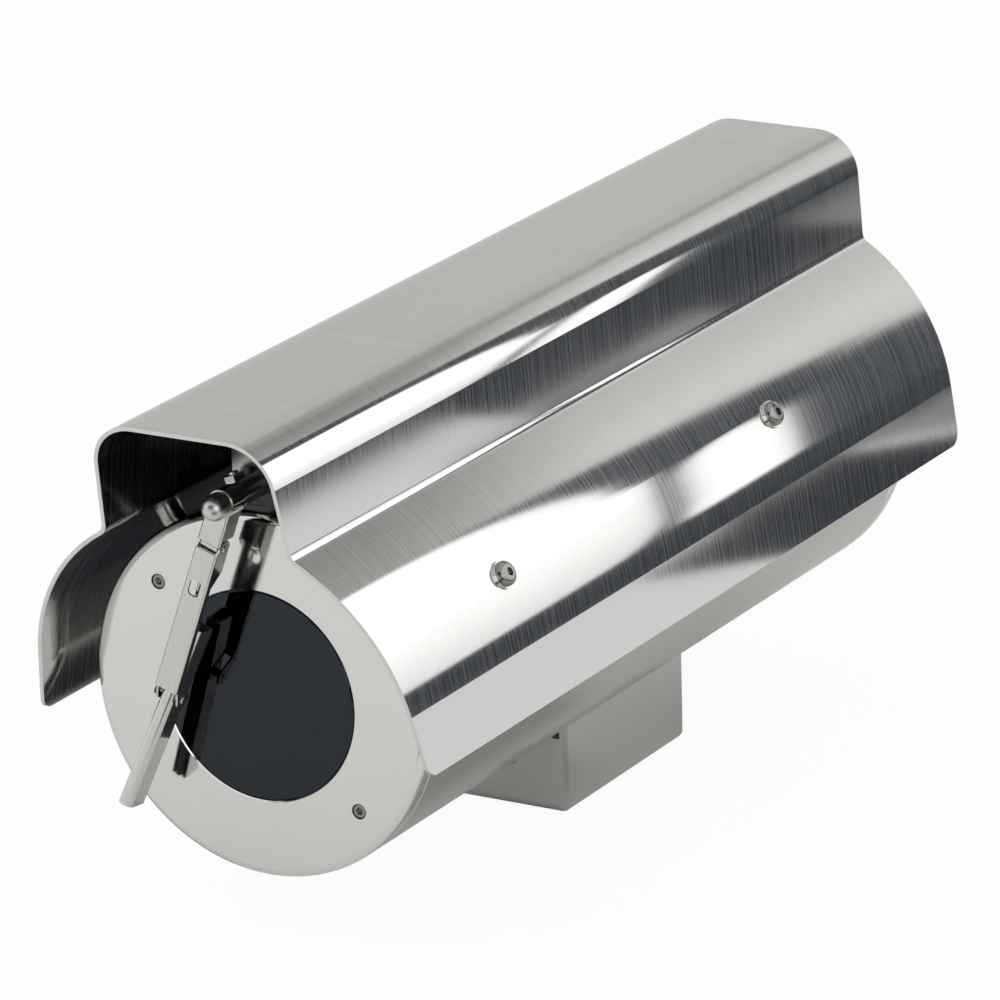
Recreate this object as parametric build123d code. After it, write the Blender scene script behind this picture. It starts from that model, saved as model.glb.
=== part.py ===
from build123d import *
import math
import os

os.makedirs("parts", exist_ok=True)

# Stainless steel camera enclosure, millimetres.
# Every piece is drawn on the tube's own axes: the tube runs along Y, its front face is y = 0
# and the window looks toward -Y. The finished pieces are then moved so that the base bracket
# stands on z = 0 with its middle on y = 0.

# Body tube, front plate and rear cover
BODY_D = 136.0
BODY_R = BODY_D / 2
BODY_WALL = 3.0
BODY_LENGTH = 379.0
PLATE_T = 8.0
COVER_T = 8.0
RIM_ROUND = 3.0
SEAM_CHAMFER = 0.4
FLANGE_T = 12.0
FLANGE_W = 13.7
FLANGE_IN_R = BODY_R - BODY_WALL - FLANGE_W
SEAT_GAP = 0.3
TUBE_FRONT = PLATE_T
TUBE_REAR = BODY_LENGTH - COVER_T

# O-rings in the two tube flanges
O_RING_INSET = 4.0
O_RING_R = BODY_R - BODY_WALL - O_RING_INSET
O_RING_WIRE_R = 0.95
GROOVE_W = 2.6
GROOVE_DEEP = 2.0

# Screws of the front plate
FRONT_SCREW_OUT = 3.0
FRONT_SCREW_CIRCLE_R = FLANGE_IN_R + FRONT_SCREW_OUT
FRONT_SCREW_ANGLES = (137.3, 317.3)
FRONT_SCREW_D = 3.0
FRONT_SCREW_L = 12.7
FRONT_THREAD_DEEP = 9.0
FRONT_HEAD_D = 5.4
FRONT_HEAD_H = 3.0
FRONT_SOCKET_DEEP = 1.6
HEAD_SINK = 0.3
FRONT_SOCKET_AF = 2.5

# Window, its seal and its clamping ring, measured inward from the flange
RING_INSET = 0.7
RING_OUT_R = FLANGE_IN_R - RING_INSET
RING_SCREW_INSET = 3.3
RING_SCREW_CIRCLE_R = RING_OUT_R - RING_SCREW_INSET
GLASS_FLANGE_INSET = 3.7
GLASS_FLANGE_R = RING_SCREW_CIRCLE_R - GLASS_FLANGE_INSET
GLASS_SEAT_R = GLASS_FLANGE_R + 0.4
GLASS_FLANGE_W = 4.5
APERTURE_R = GLASS_FLANGE_R - GLASS_FLANGE_W
RING_LAP = 7.1
RING_IN_R = GLASS_FLANGE_R - RING_LAP
GLASS_GAP = 0.3
GLASS_SINK = 0.2
GLASS_STEP_Y = 3.0
SEAL_T = 0.8
RING_T = 3.5
RING_SCREW_ANGLES = (45, 135, 225, 315)
RING_SCREW_D = 2.5
RING_HEAD_D = 4.6
RING_HEAD_H = 1.7

# Rear cover screws
REAR_SCREW_OUT = 5.7
REAR_SCREW_CIRCLE_R = FLANGE_IN_R + REAR_SCREW_OUT
REAR_SCREW_ANGLES = (45, 135, 225, 315)
REAR_SCREW_D = 4.0
REAR_HEAD_D = 7.6
REAR_HEAD_H = 2.2
REAR_SOCKET_AF = 2.5
REAR_THREAD_DEEP = 10.0

# Cable glands in the rear cover
GLAND_X = 24.0
GLAND_Z = -18.0
GLAND_THREAD_D = 20.0
GLAND_AF = 24.0
GLAND_FLANGE_T = 5.0
GLAND_BARREL_D = 17.0
GLAND_BARREL_L = 12.0
GLAND_CAP_AF = 22.0
GLAND_CAP_L = 15.0
GLAND_BORE_D = 11.0
GLAND_NUT_T = 4.5

# Sun shield
SHEET = 1.5
HAT_RISE = 42.0
HAT_TOP_Z = BODY_R + HAT_RISE
HAT_HALF_TOP = 35.3
HAT_HALF_FOOT = 38.5
HAT_CORNER_R = 17.6
VALLEY_R = 4.0
WING_GAP = 8.1
WING_R = BODY_R + WING_GAP + SHEET
WING_END_ANGLE = 8.7
FLANGE_LENGTH = 23.6
WING_CORNER_R = 6.0
VISOR_Y = -20.6
VISOR_SLOPE = 0.23
REAR_OVERHANG = 19.2
SHIELD_REAR_Y = BODY_LENGTH + REAR_OVERHANG

# Shield fixings
SHIELD_SCREW_ANGLE = 29.0
SHIELD_SCREW_Y = (56.7, 261.9)
SHIELD_SCREW_D = 5.0
SHIELD_HEAD_D = 9.4
SHIELD_HEAD_H = 2.7
SHIELD_SOCKET_AF = 3.0
SHIELD_HOLE_D = 5.6
WASHER_D = 10.8
WASHER_T = 0.8
BOSS_D = 10.0
BOSS_TOP_GAP = 0.25

# Base bracket
BRACKET_FRONT_Y = 168.7
BRACKET_LENGTH = 93.8
BRACKET_REAR_Y = BRACKET_FRONT_Y + BRACKET_LENGTH
BRACKET_MID_Y = (BRACKET_FRONT_Y + BRACKET_REAR_Y) / 2
BRACKET_HALF_W = 28.0
BRACKET_DROP = 30.4
BRACKET_BOTTOM_Z = -BODY_R - BRACKET_DROP
BRACKET_SHEET = 2.0
BRACKET_EDGE_R = 3.0
BRACKET_CORNER_R = 2.4
V_RISE = 2.2
V_DEEP = 16.0
V_MARGIN = 0.6
RELIEF_W = 3.2
RELIEF_UP = 6.0
RELIEF_DOWN = 3.0
BASE_HOLE_D = 6.6
BASE_HOLE_X = 16.0
BASE_HOLE_Y = 33.0

# Earth screw under the tube, in front of the bracket
EARTH_AHEAD = 4.5
EARTH_Y = BRACKET_FRONT_Y - EARTH_AHEAD
EARTH_BOSS_D = 7.0
EARTH_BOSS_DROP = 11.6
EARTH_BOSS_Z = -BODY_R - EARTH_BOSS_DROP
EARTH_HOLE_DEEP = 8.0
EARTH_THREAD_L = 7.0
EARTH_WASHER_D = 9.0
EARTH_WASHER_T = 0.8
EARTH_AF = 7.0
EARTH_HEAD_H = 2.8
EARTH_SCREW_D = 4.0

# Wiper drive on top of the tube
SHAFT_RISE = 9.0
SHAFT_Z = BODY_R + SHAFT_RISE
SHAFT_D = 6.0
RUN_GAP = 0.05
SLEEVE_D = 8.8
SLEEVE_FRONT_Y = -11.2
SLEEVE_FLANGE_D = 17.0
SLEEVE_FLANGE_T = 2.0
HOOD_FRONT_Y = 36.0
HOOD_LENGTH = 96.0
HOOD_REAR_Y = HOOD_FRONT_Y + HOOD_LENGTH
HOOD_SIDE_GAP = 3.8
HOOD_HALF_W = HAT_HALF_TOP - SHEET - HOOD_SIDE_GAP
HOOD_TOP_GAP = 4.5
HOOD_TOP_Z = HAT_TOP_Z - SHEET - HOOD_TOP_GAP
HOOD_CORNER_R = 14.0
HOOD_SHEET = 2.0
HOOD_TAB_L = 11.0
HOOD_TAB_W = 12.0
HOOD_TAB_R = 3.0
HOOD_STUD_ANGLES = (69.5, 110.5)
HOOD_STUD_D = 4.0
HOOD_STUD_PROUD = 1.0
HOOD_WASHER_D = 9.0
HOOD_NUT_AF = 7.0
HOOD_NUT_T = 3.2
GEARBOX_HALF_W = 18.0
GEARBOX_L = 26.0
GEARBOX_TOP_GAP = 2.0
GEARBOX_TOP_Z = HOOD_TOP_Z - HOOD_SHEET - GEARBOX_TOP_GAP
GEARBOX_FOOT_GAP = 1.6
GEARBOX_FOOT_Z = BODY_R + GEARBOX_FOOT_GAP
MOTOR_D = 27.0
MOTOR_FOOT_GAP = 4.0
MOTOR_Z = BODY_R + MOTOR_FOOT_GAP + MOTOR_D / 2
MOTOR_L = 54.0

# Wiper head and arm, drawn hanging straight down from the shaft
ARM_ANGLE = 19.7
ARM_FRONT_Y = -20.5
ARM_HALF_W = 4.6
ARM_SHEET = 0.8
ARM_BEND_R = 1.1
HEAD_BACK_Y = -11.8
HEAD_HUB_R = 5.2
HEAD_BLOCK_S = 13.4
HEAD_HOOD_S = 15.5
TONGUE_HALF_W = 3.4
PIVOT_S = 17.2
PIVOT_Y = -16.0
PIVOT_D = 2.5
EAR_R = 3.2
WEB_TOP_S = 18.8
WEB_END_S = 76.2
ARM_WALL_BACK_Y = -12.7
ARM_LOW_WALL_Y = -17.4
ARM_HOLE_S = 34.2
ARM_HOLE_W = 4.8
ARM_HOLE_L = 6.4
DOME_R = 4.8
DOME_BACK_Y = -19.5
DOME_CYL_L = 4.0

# Arm spring
SPRING_Y = -17.5
SPRING_R = 1.45
SPRING_WIRE_R = 0.32
SPRING_TOP_S = 20.7
SPRING_END_S = 30.8
SPRING_TURNS = 8
HOOK_GAP = 0.1
HOOK_R = 0.6
HOOK_END_S = 38.7

# Blade, drawn about its own pin
BLADE_S = 80.8
BLADE_PIN_Y = -13.4
BLADE_PIN_D = 3.0
BLADE_TILT = 1.0
BLADE_ROCK = 9.5
BLADE_SHIFT = -0.6
BUSH_R = 2.1
BUSH_INSET = 1.1
BLADE_EAR_R = 3.4
BLADE_ABOVE = 26.5
BLADE_BELOW = 45.0
CARRIER_HALF_W = 2.9
CARRIER_AHEAD = 3.1
CARRIER_BEHIND = 6.9
CARRIER_FRONT_Y = BLADE_PIN_Y - CARRIER_AHEAD
CARRIER_BACK_Y = BLADE_PIN_Y + CARRIER_BEHIND
CARRIER_SHEET = 0.7
CARRIER_BEND_R = 2.6
CARRIER_LIP = 1.5
RUBBER_PROUD = 1.1
CAP_D = 5.4
CAP_T = 1.3


def cyl_y(radius, y0, y1, x=0.0, z=0.0):
    """Cylinder along Y from y0 to y1."""
    body = Cylinder(radius, y1 - y0, align=(Align.CENTER, Align.CENTER, Align.MIN))
    return Pos(x, y0, z) * Rot(-90, 0, 0) * body


def cyl_z(radius, z0, z1, x=0.0, y=0.0):
    """Cylinder along Z from z0 to z1."""
    return Pos(x, y, z0) * Cylinder(radius, z1 - z0, align=(Align.CENTER, Align.CENTER, Align.MIN))


def cyl_x(radius, x0, x1, y=0.0, z=0.0):
    """Cylinder along X from x0 to x1."""
    body = Cylinder(radius, x1 - x0, align=(Align.CENTER, Align.CENTER, Align.MIN))
    return Pos(x0, y, z) * Rot(0, 90, 0) * body


def block(x0, x1, y0, y1, z0, z1):
    """Box between two corners."""
    return Pos((x0 + x1) / 2, (y0 + y1) / 2, (z0 + z1) / 2) * Box(x1 - x0, y1 - y0, z1 - z0)


def hex_y(across, y0, y1, x=0.0, z=0.0):
    """Hexagonal bar along Y from y0 to y1."""
    bar = extrude(RegularPolygon(across / 2, 6, major_radius=False), amount=y1 - y0)
    return Pos(x, y0, z) * Rot(-90, 0, 0) * bar


def prism_y(sketch, y0, y1):
    """Sketch drawn in X and Z, carried along Y from y0 to y1."""
    return Pos(0, y0, 0) * Rot(90, 0, 0) * extrude(sketch, amount=-(y1 - y0))


def prism_x(points, half_width):
    """Closed outline of (y, z) points, carried along X to both sides."""
    face = make_face(Polyline([(y, z) for y, z in points] + [points[0]]))
    solid = extrude(face, amount=half_width, both=True)
    return Rot(0, 0, 90) * Rot(90, 0, 0) * solid


def on_circle(radius, degrees):
    """Point on a circle round the tube's axis, as (x, z)."""
    turn = math.radians(degrees)
    return radius * math.cos(turn), radius * math.sin(turn)


def radial(degrees, y, shape):
    """Turn a shape standing on +Z so that it points out of the tube."""
    return Pos(0, y, 0) * Rot(0, 90 - degrees, 0) * shape


def tube_space():
    """The tube with its clearance, well past both ends, to trim what sits on it."""
    return cyl_y(BODY_R + SEAT_GAP, -BODY_LENGTH, 2 * BODY_LENGTH)


def circle_edges(shape, radius, y):
    """Round edges of one radius lying at one y."""
    found = shape.edges().filter_by(GeomType.CIRCLE)
    return found.filter_by(lambda e: abs(e.radius - radius) < 0.01 and abs(e.center().Y - y) < 0.01)


# Body tube, its two flanges, the hood's studs and the earth boss
def make_body_tube():
    tube = cyl_y(BODY_R, TUBE_FRONT, TUBE_REAR) - cyl_y(BODY_R - BODY_WALL, TUBE_FRONT, TUBE_REAR)
    tube = chamfer(circle_edges(tube, BODY_R, TUBE_FRONT), SEAM_CHAMFER)
    return chamfer(circle_edges(tube, BODY_R, TUBE_REAR), SEAM_CHAMFER)


def make_flange(y0, groove_y):
    """Ring in one end of the tube, from y0 on, with the groove for its O-ring."""
    flange = cyl_y(BODY_R - BODY_WALL - RUN_GAP, y0, y0 + FLANGE_T) - cyl_y(FLANGE_IN_R, y0, y0 + FLANGE_T)
    groove = cyl_y(O_RING_R + GROOVE_W / 2, 0, GROOVE_DEEP) - cyl_y(O_RING_R - GROOVE_W / 2, 0, GROOVE_DEEP)
    return flange - Pos(0, groove_y, 0) * groove


def make_front_flange():
    flange = make_flange(TUBE_FRONT, TUBE_FRONT)
    for angle in FRONT_SCREW_ANGLES:
        x, z = on_circle(FRONT_SCREW_CIRCLE_R, angle)
        flange -= cyl_y(FRONT_SCREW_D / 2 + RUN_GAP, TUBE_FRONT, TUBE_FRONT + FRONT_THREAD_DEEP, x, z)
    return flange


def make_rear_flange():
    flange = make_flange(TUBE_REAR - FLANGE_T, TUBE_REAR - GROOVE_DEEP)
    for angle in REAR_SCREW_ANGLES:
        x, z = on_circle(REAR_SCREW_CIRCLE_R, angle)
        flange -= cyl_y(REAR_SCREW_D / 2 + RUN_GAP, TUBE_REAR - REAR_THREAD_DEEP, TUBE_REAR, x, z)
    return flange


def make_hood_stud(angle):
    stud = cyl_z(HOOD_STUD_D / 2, BODY_R - 1.0, hood_tab_top() + WASHER_T + HOOD_NUT_T + HOOD_STUD_PROUD)
    return radial(angle, hood_stud_y(), stud) - tube_space()


def make_earth_boss():
    boss = cyl_z(EARTH_BOSS_D / 2, EARTH_BOSS_Z, -BODY_R + 1.0, 0, EARTH_Y)
    boss -= tube_space()
    return boss - cyl_z(EARTH_SCREW_D / 2 + RUN_GAP, EARTH_BOSS_Z, EARTH_BOSS_Z + EARTH_HOLE_DEEP, 0, EARTH_Y)


def make_o_ring(y):
    return Pos(0, y, 0) * Rot(-90, 0, 0) * Torus(O_RING_R, O_RING_WIRE_R)


# Front plate, window and its clamping ring
def make_front_plate():
    plate = cyl_y(BODY_R, 0, PLATE_T)
    plate = fillet(circle_edges(plate, BODY_R, 0), RIM_ROUND)
    plate = chamfer(circle_edges(plate, BODY_R, PLATE_T), SEAM_CHAMFER)
    plate -= cyl_y(APERTURE_R, 0, PLATE_T)
    plate -= cyl_y(GLASS_SEAT_R, GLASS_STEP_Y, PLATE_T)
    plate = chamfer(circle_edges(plate, APERTURE_R, 0), SEAM_CHAMFER)
    for angle in FRONT_SCREW_ANGLES:
        x, z = on_circle(FRONT_SCREW_CIRCLE_R, angle)
        plate -= cyl_y(FRONT_SCREW_D / 2 + 0.1, 0, PLATE_T, x, z)
        plate -= cyl_y(FRONT_HEAD_D / 2 + 0.2, 0, HEAD_SINK + FRONT_HEAD_H, x, z)
    for angle in RING_SCREW_ANGLES:
        x, z = on_circle(RING_SCREW_CIRCLE_R, angle)
        plate -= cyl_y(RING_SCREW_D / 2 + RUN_GAP, PLATE_T - 4.5, PLATE_T, x, z)
    return plate


def make_front_screw(angle):
    x, z = on_circle(FRONT_SCREW_CIRCLE_R, angle)
    top = HEAD_SINK
    screw = cyl_y(FRONT_HEAD_D / 2, top, top + FRONT_HEAD_H, x, z)
    screw = chamfer(circle_edges(screw, FRONT_HEAD_D / 2, top), 0.35)
    screw += cyl_y(FRONT_SCREW_D / 2, top + FRONT_HEAD_H, top + FRONT_HEAD_H + FRONT_SCREW_L, x, z)
    return screw - hex_y(FRONT_SOCKET_AF, top, top + FRONT_SOCKET_DEEP, x, z)


def make_window_glass():
    glass = cyl_y(APERTURE_R - GLASS_GAP, GLASS_SINK, GLASS_STEP_Y + SEAL_T)
    glass = chamfer(circle_edges(glass, APERTURE_R - GLASS_GAP, GLASS_SINK), 0.3)
    return glass + cyl_y(GLASS_FLANGE_R, GLASS_STEP_Y + SEAL_T, PLATE_T)


def make_window_seal():
    return cyl_y(GLASS_FLANGE_R, GLASS_STEP_Y, GLASS_STEP_Y + SEAL_T) - cyl_y(
        APERTURE_R, GLASS_STEP_Y, GLASS_STEP_Y + SEAL_T)


def make_retaining_ring():
    ring = cyl_y(RING_OUT_R, PLATE_T, PLATE_T + RING_T) - cyl_y(RING_IN_R, PLATE_T, PLATE_T + RING_T)
    for angle in RING_SCREW_ANGLES:
        x, z = on_circle(RING_SCREW_CIRCLE_R, angle)
        ring -= cyl_y(RING_SCREW_D / 2 + 0.1, PLATE_T, PLATE_T + RING_T, x, z)
        ring -= cyl_y(RING_HEAD_D / 2 + 0.2, PLATE_T + RING_T - RING_HEAD_H - 0.1, PLATE_T + RING_T, x, z)
    return ring


def make_ring_screw(angle):
    x, z = on_circle(RING_SCREW_CIRCLE_R, angle)
    under = PLATE_T + RING_T - RING_HEAD_H - 0.1
    screw = cyl_y(RING_SCREW_D / 2, PLATE_T - 4.0, under, x, z)
    screw += cyl_y(RING_HEAD_D / 2, under, under + RING_HEAD_H, x, z)
    return screw - hex_y(1.5, under + 0.7, under + RING_HEAD_H, x, z)


# Rear cover with its screws and cable glands
def make_rear_cover():
    cover = cyl_y(BODY_R, TUBE_REAR, BODY_LENGTH)
    cover = fillet(circle_edges(cover, BODY_R, BODY_LENGTH), RIM_ROUND)
    cover = chamfer(circle_edges(cover, BODY_R, TUBE_REAR), SEAM_CHAMFER)
    for angle in REAR_SCREW_ANGLES:
        x, z = on_circle(REAR_SCREW_CIRCLE_R, angle)
        cover -= cyl_y(REAR_SCREW_D / 2 + 0.25, TUBE_REAR, BODY_LENGTH, x, z)
    for x in (-GLAND_X, GLAND_X):
        cover -= cyl_y(GLAND_THREAD_D / 2 + 0.2, TUBE_REAR, BODY_LENGTH, x, GLAND_Z)
    return cover


def make_rear_screw(angle):
    x, z = on_circle(REAR_SCREW_CIRCLE_R, angle)
    top = BODY_LENGTH + REAR_HEAD_H
    screw = cyl_y(REAR_HEAD_D / 2, BODY_LENGTH, top, x, z)
    screw = fillet(circle_edges(screw, REAR_HEAD_D / 2, top), 1.5)
    screw += cyl_y(REAR_SCREW_D / 2, TUBE_REAR - REAR_THREAD_DEEP + 1.0, BODY_LENGTH, x, z)
    return screw - hex_y(REAR_SOCKET_AF, top - 1.4, top, x, z)


def make_gland_body(x):
    body = hex_y(GLAND_AF, BODY_LENGTH, BODY_LENGTH + GLAND_FLANGE_T, x, GLAND_Z)
    body += cyl_y(GLAND_THREAD_D / 2, TUBE_REAR - GLAND_NUT_T - 2.0, BODY_LENGTH, x, GLAND_Z)
    shoulder = BODY_LENGTH + GLAND_FLANGE_T
    body += cyl_y(GLAND_BARREL_D / 2, shoulder, shoulder + GLAND_BARREL_L, x, GLAND_Z)
    return body - cyl_y(GLAND_BORE_D / 2 + 0.1, TUBE_REAR - 10.0, shoulder + GLAND_BARREL_L, x, GLAND_Z)


def make_gland_cap(x):
    start = BODY_LENGTH + GLAND_FLANGE_T + 0.5
    cap = hex_y(GLAND_CAP_AF, start, start + 8.0, x, GLAND_Z)
    dome = cyl_y(GLAND_CAP_AF / 2, start + 8.0, start + GLAND_CAP_L, x, GLAND_Z)
    dome = fillet(circle_edges(dome, GLAND_CAP_AF / 2, start + GLAND_CAP_L), 3.5)
    cap += dome
    cap -= cyl_y(GLAND_BARREL_D / 2 + 0.1, start, start + GLAND_BARREL_L, x, GLAND_Z)
    return cap - cyl_y(GLAND_BORE_D / 2 + 0.1, start, start + GLAND_CAP_L, x, GLAND_Z)


def make_gland_locknut(x):
    nut = hex_y(GLAND_AF, TUBE_REAR - GLAND_NUT_T, TUBE_REAR, x, GLAND_Z)
    return nut - cyl_y(GLAND_THREAD_D / 2 + 0.1, TUBE_REAR - GLAND_NUT_T, TUBE_REAR, x, GLAND_Z)


def make_gland_plug(x):
    start = TUBE_REAR - GLAND_NUT_T - 2.0
    end = BODY_LENGTH + GLAND_FLANGE_T + 0.5 + GLAND_CAP_L
    plug = cyl_y(GLAND_BORE_D / 2, start, end + 1.0, x, GLAND_Z)
    return fillet(circle_edges(plug, GLAND_BORE_D / 2, end + 1.0), 0.8)


# Sun shield: one sheet bent into a hat over the drive and two wings round the tube
def shield_region(extra):
    """Everything under the outer skin, with the flanges made longer by extra."""
    turn = math.radians(WING_END_ANGLE)
    top = (WING_R * math.cos(turn), WING_R * math.sin(turn))
    reach = FLANGE_LENGTH + extra
    end = (top[0] + reach * math.sin(turn), top[1] - reach * math.cos(turn))
    outline = [
        Line(end, top),
        ThreePointArc(top, (0, WING_R), (-top[0], top[1])),
        Line((-top[0], top[1]), (-end[0], end[1])),
        Line((-end[0], end[1]), end),
    ]
    wings = make_face(outline)
    slope = (HAT_HALF_FOOT - HAT_HALF_TOP) / (HAT_TOP_Z - math.sqrt(WING_R**2 - HAT_HALF_FOOT**2))
    low_z = HAT_HALF_FOOT
    low_x = HAT_HALF_TOP + slope * (HAT_TOP_Z - low_z)
    hat = make_face(Polyline(
        (-HAT_HALF_TOP, HAT_TOP_Z), (HAT_HALF_TOP, HAT_TOP_Z), (low_x, low_z), (-low_x, low_z),
        (-HAT_HALF_TOP, HAT_TOP_Z)))
    hat = fillet(hat.vertices().group_by(Axis.Y)[-1], HAT_CORNER_R)
    region = wings + hat
    valley = [v for v in region.vertices() if abs(abs(v.X) - HAT_HALF_FOOT) < SHEET and v.Y > low_z + SHEET]
    return fillet(valley, VALLEY_R), end[1]


def make_sun_shield():
    outer, _ = shield_region(8.0)
    _, end_z = shield_region(0.0)
    section = outer - offset(outer, amount=-SHEET)
    ahead = VISOR_Y - HAT_TOP_Z
    shield = prism_y(section, ahead, SHIELD_REAR_Y)
    shield -= block(-2 * WING_R, 2 * WING_R, 2 * ahead, 2 * SHIELD_REAR_Y, end_z - 2 * FLANGE_LENGTH, end_z)
    top, low = HAT_TOP_Z + SHEET, -HAT_TOP_Z
    shield -= prism_x([
        (VISOR_Y - VISOR_SLOPE * top, top), (VISOR_Y - VISOR_SLOPE * low, low), (2 * ahead, low),
        (2 * ahead, top)], 2 * WING_R)
    corners = [e for e in shield.edges() if e.length < SHEET * 1.3 and abs(e.center().Z - end_z) < 1.0]
    shield = fillet(corners, WING_CORNER_R)
    for angle in (SHIELD_SCREW_ANGLE, 180 - SHIELD_SCREW_ANGLE):
        for y in SHIELD_SCREW_Y:
            shield -= radial(angle, y, cyl_z(SHIELD_HOLE_D / 2, WING_R - 5, WING_R + 5))
    return shield


def make_shield_boss():
    top = WING_R - SHEET - BOSS_TOP_GAP
    boss = cyl_z(BOSS_D / 2, BODY_R - 3.0, top)
    boss -= cyl_z(SHIELD_SCREW_D / 2 + RUN_GAP, top - 6.5, top)
    return boss


def make_shield_screw():
    seat = WING_R + WASHER_T + 0.02
    head = cyl_z(SHIELD_HEAD_D / 2, seat, seat + SHIELD_HEAD_H)
    rim = head.edges().filter_by(GeomType.CIRCLE).sort_by(Axis.Z)[-1]
    head = fillet(rim, 2.2)
    socket = extrude(RegularPolygon(SHIELD_SOCKET_AF / 2, 6, major_radius=False), amount=2.0)
    head -= Pos(0, 0, seat + SHIELD_HEAD_H - 1.7) * socket
    return head + cyl_z(SHIELD_SCREW_D / 2, WING_R - SHEET - 6.0, seat)


def make_shield_washer():
    seat = WING_R + 0.02
    return cyl_z(WASHER_D / 2, seat, seat + WASHER_T) - cyl_z(SHIELD_SCREW_D / 2 + 0.15, seat, seat + WASHER_T)


def around_shield(shape, trim=None):
    """The four shield fixings, two on each side."""
    places = []
    for angle in (SHIELD_SCREW_ANGLE, 180 - SHIELD_SCREW_ANGLE):
        for y in SHIELD_SCREW_Y:
            piece = radial(angle, y, shape)
            places.append(piece if trim is None else piece - trim)
    return places


# Base bracket: a folded tray welded to the underside of the tube
def tray_block(inset):
    """The bracket's block, drawn in by inset on every side and on the bottom."""
    top = -BODY_R + BRACKET_HALF_W
    solid = block(
        -BRACKET_HALF_W + inset, BRACKET_HALF_W - inset, BRACKET_FRONT_Y + inset, BRACKET_REAR_Y - inset,
        BRACKET_BOTTOM_Z + inset, top)
    solid = fillet(solid.edges().filter_by(Axis.Z), max(BRACKET_CORNER_R - inset, 0.4))
    return fillet(solid.edges().group_by(Axis.Z)[0], max(BRACKET_EDGE_R - inset, 0.6))


def make_base_bracket():
    tray = tray_block(0) - tray_block(BRACKET_SHEET)
    tray -= tube_space()
    inner = BRACKET_HALF_W - BRACKET_SHEET - V_MARGIN
    v_top, v_low, over = -BODY_R + V_RISE, -BODY_R - V_DEEP, -BODY_R + BRACKET_HALF_W
    notch = make_face(Polyline(
        (-inner, over), (-inner, v_top), (0, v_low), (inner, v_top), (inner, over), (-inner, over)))
    tray -= prism_y(notch, BRACKET_FRONT_Y - 1, BRACKET_FRONT_Y + BRACKET_SHEET + 2)
    tray -= prism_y(notch, BRACKET_REAR_Y - BRACKET_SHEET - 2, BRACKET_REAR_Y + 1)
    for side in (-1, 1):
        for y in (BRACKET_FRONT_Y, BRACKET_REAR_Y):
            x = side * inner
            ends = sorted((x, x - side * RELIEF_W))
            relief = block(
                *ends, y - 1.5 * BRACKET_SHEET, y + 1.5 * BRACKET_SHEET, v_top - RELIEF_DOWN, v_top + RELIEF_UP)
            tray -= relief
    for x in (-BASE_HOLE_X, BASE_HOLE_X):
        for y in (BRACKET_MID_Y - BASE_HOLE_Y, BRACKET_MID_Y + BASE_HOLE_Y):
            tray -= cyl_z(BASE_HOLE_D / 2, BRACKET_BOTTOM_Z - 1, BRACKET_BOTTOM_Z + BRACKET_SHEET + 1, x, y)
    return tray


# Earth screw and washer under the tube
def make_earth_washer():
    low = EARTH_BOSS_Z - EARTH_WASHER_T
    washer = cyl_z(EARTH_WASHER_D / 2, low, EARTH_BOSS_Z, 0, EARTH_Y)
    return washer - cyl_z(EARTH_SCREW_D / 2 + 0.15, low, EARTH_BOSS_Z, 0, EARTH_Y)


def make_earth_screw():
    seat = EARTH_BOSS_Z - EARTH_WASHER_T
    head = extrude(RegularPolygon(EARTH_AF / 2, 6, major_radius=False), amount=EARTH_HEAD_H)
    screw = Pos(0, EARTH_Y, seat - EARTH_HEAD_H) * head
    screw += cyl_z(EARTH_SCREW_D / 2, seat, EARTH_BOSS_Z + EARTH_THREAD_L, 0, EARTH_Y)
    return screw


# Drive hood on top of the tube, its nuts, the gear motor, the sleeve and the shaft
def hood_stud_y():
    return HOOD_FRONT_Y - HOOD_TAB_L / 2


def hood_tab_top():
    return BODY_R + SEAT_GAP + HOOD_SHEET


def hood_region(inset):
    face = make_face(Polyline(
        (-HOOD_HALF_W + inset, HOOD_HALF_W), (-HOOD_HALF_W + inset, HOOD_TOP_Z - inset),
        (HOOD_HALF_W - inset, HOOD_TOP_Z - inset), (HOOD_HALF_W - inset, HOOD_HALF_W),
        (-HOOD_HALF_W + inset, HOOD_HALF_W)))
    return fillet(face.vertices().group_by(Axis.Y)[-1], HOOD_CORNER_R - inset)


def make_motor_hood():
    hood = prism_y(hood_region(0), HOOD_FRONT_Y, HOOD_REAR_Y)
    hood -= prism_y(hood_region(HOOD_SHEET), HOOD_FRONT_Y + HOOD_SHEET, HOOD_REAR_Y - HOOD_SHEET)
    for angle in HOOD_STUD_ANGLES:
        tab = block(
            -HOOD_TAB_W / 2, HOOD_TAB_W / 2, -HOOD_TAB_L / 2, HOOD_TAB_L / 2 + 1.0,
            BODY_R - 1.0, hood_tab_top())
        tab -= cyl_z(HOOD_STUD_D / 2 + 0.25, BODY_R - 2.0, hood_tab_top() + 1)
        tab = fillet(tab.edges().filter_by(Axis.Z).group_by(Axis.Y)[0], HOOD_TAB_R)
        hood += radial(angle, hood_stud_y(), tab)
    hood -= tube_space()
    hood -= cyl_y(SLEEVE_D / 2 + 0.1, HOOD_FRONT_Y, HOOD_FRONT_Y + HOOD_SHEET, 0, SHAFT_Z)
    return hood


def make_hood_washer():
    low = hood_tab_top()
    return cyl_z(HOOD_WASHER_D / 2, low, low + WASHER_T) - cyl_z(HOOD_STUD_D / 2 + 0.15, low, low + WASHER_T)


def make_hood_nut():
    low = hood_tab_top() + WASHER_T
    nut = extrude(RegularPolygon(HOOD_NUT_AF / 2, 6, major_radius=False), amount=HOOD_NUT_T)
    return Pos(0, 0, low) * nut - cyl_z(HOOD_STUD_D / 2 + RUN_GAP, low, low + HOOD_NUT_T)


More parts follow.
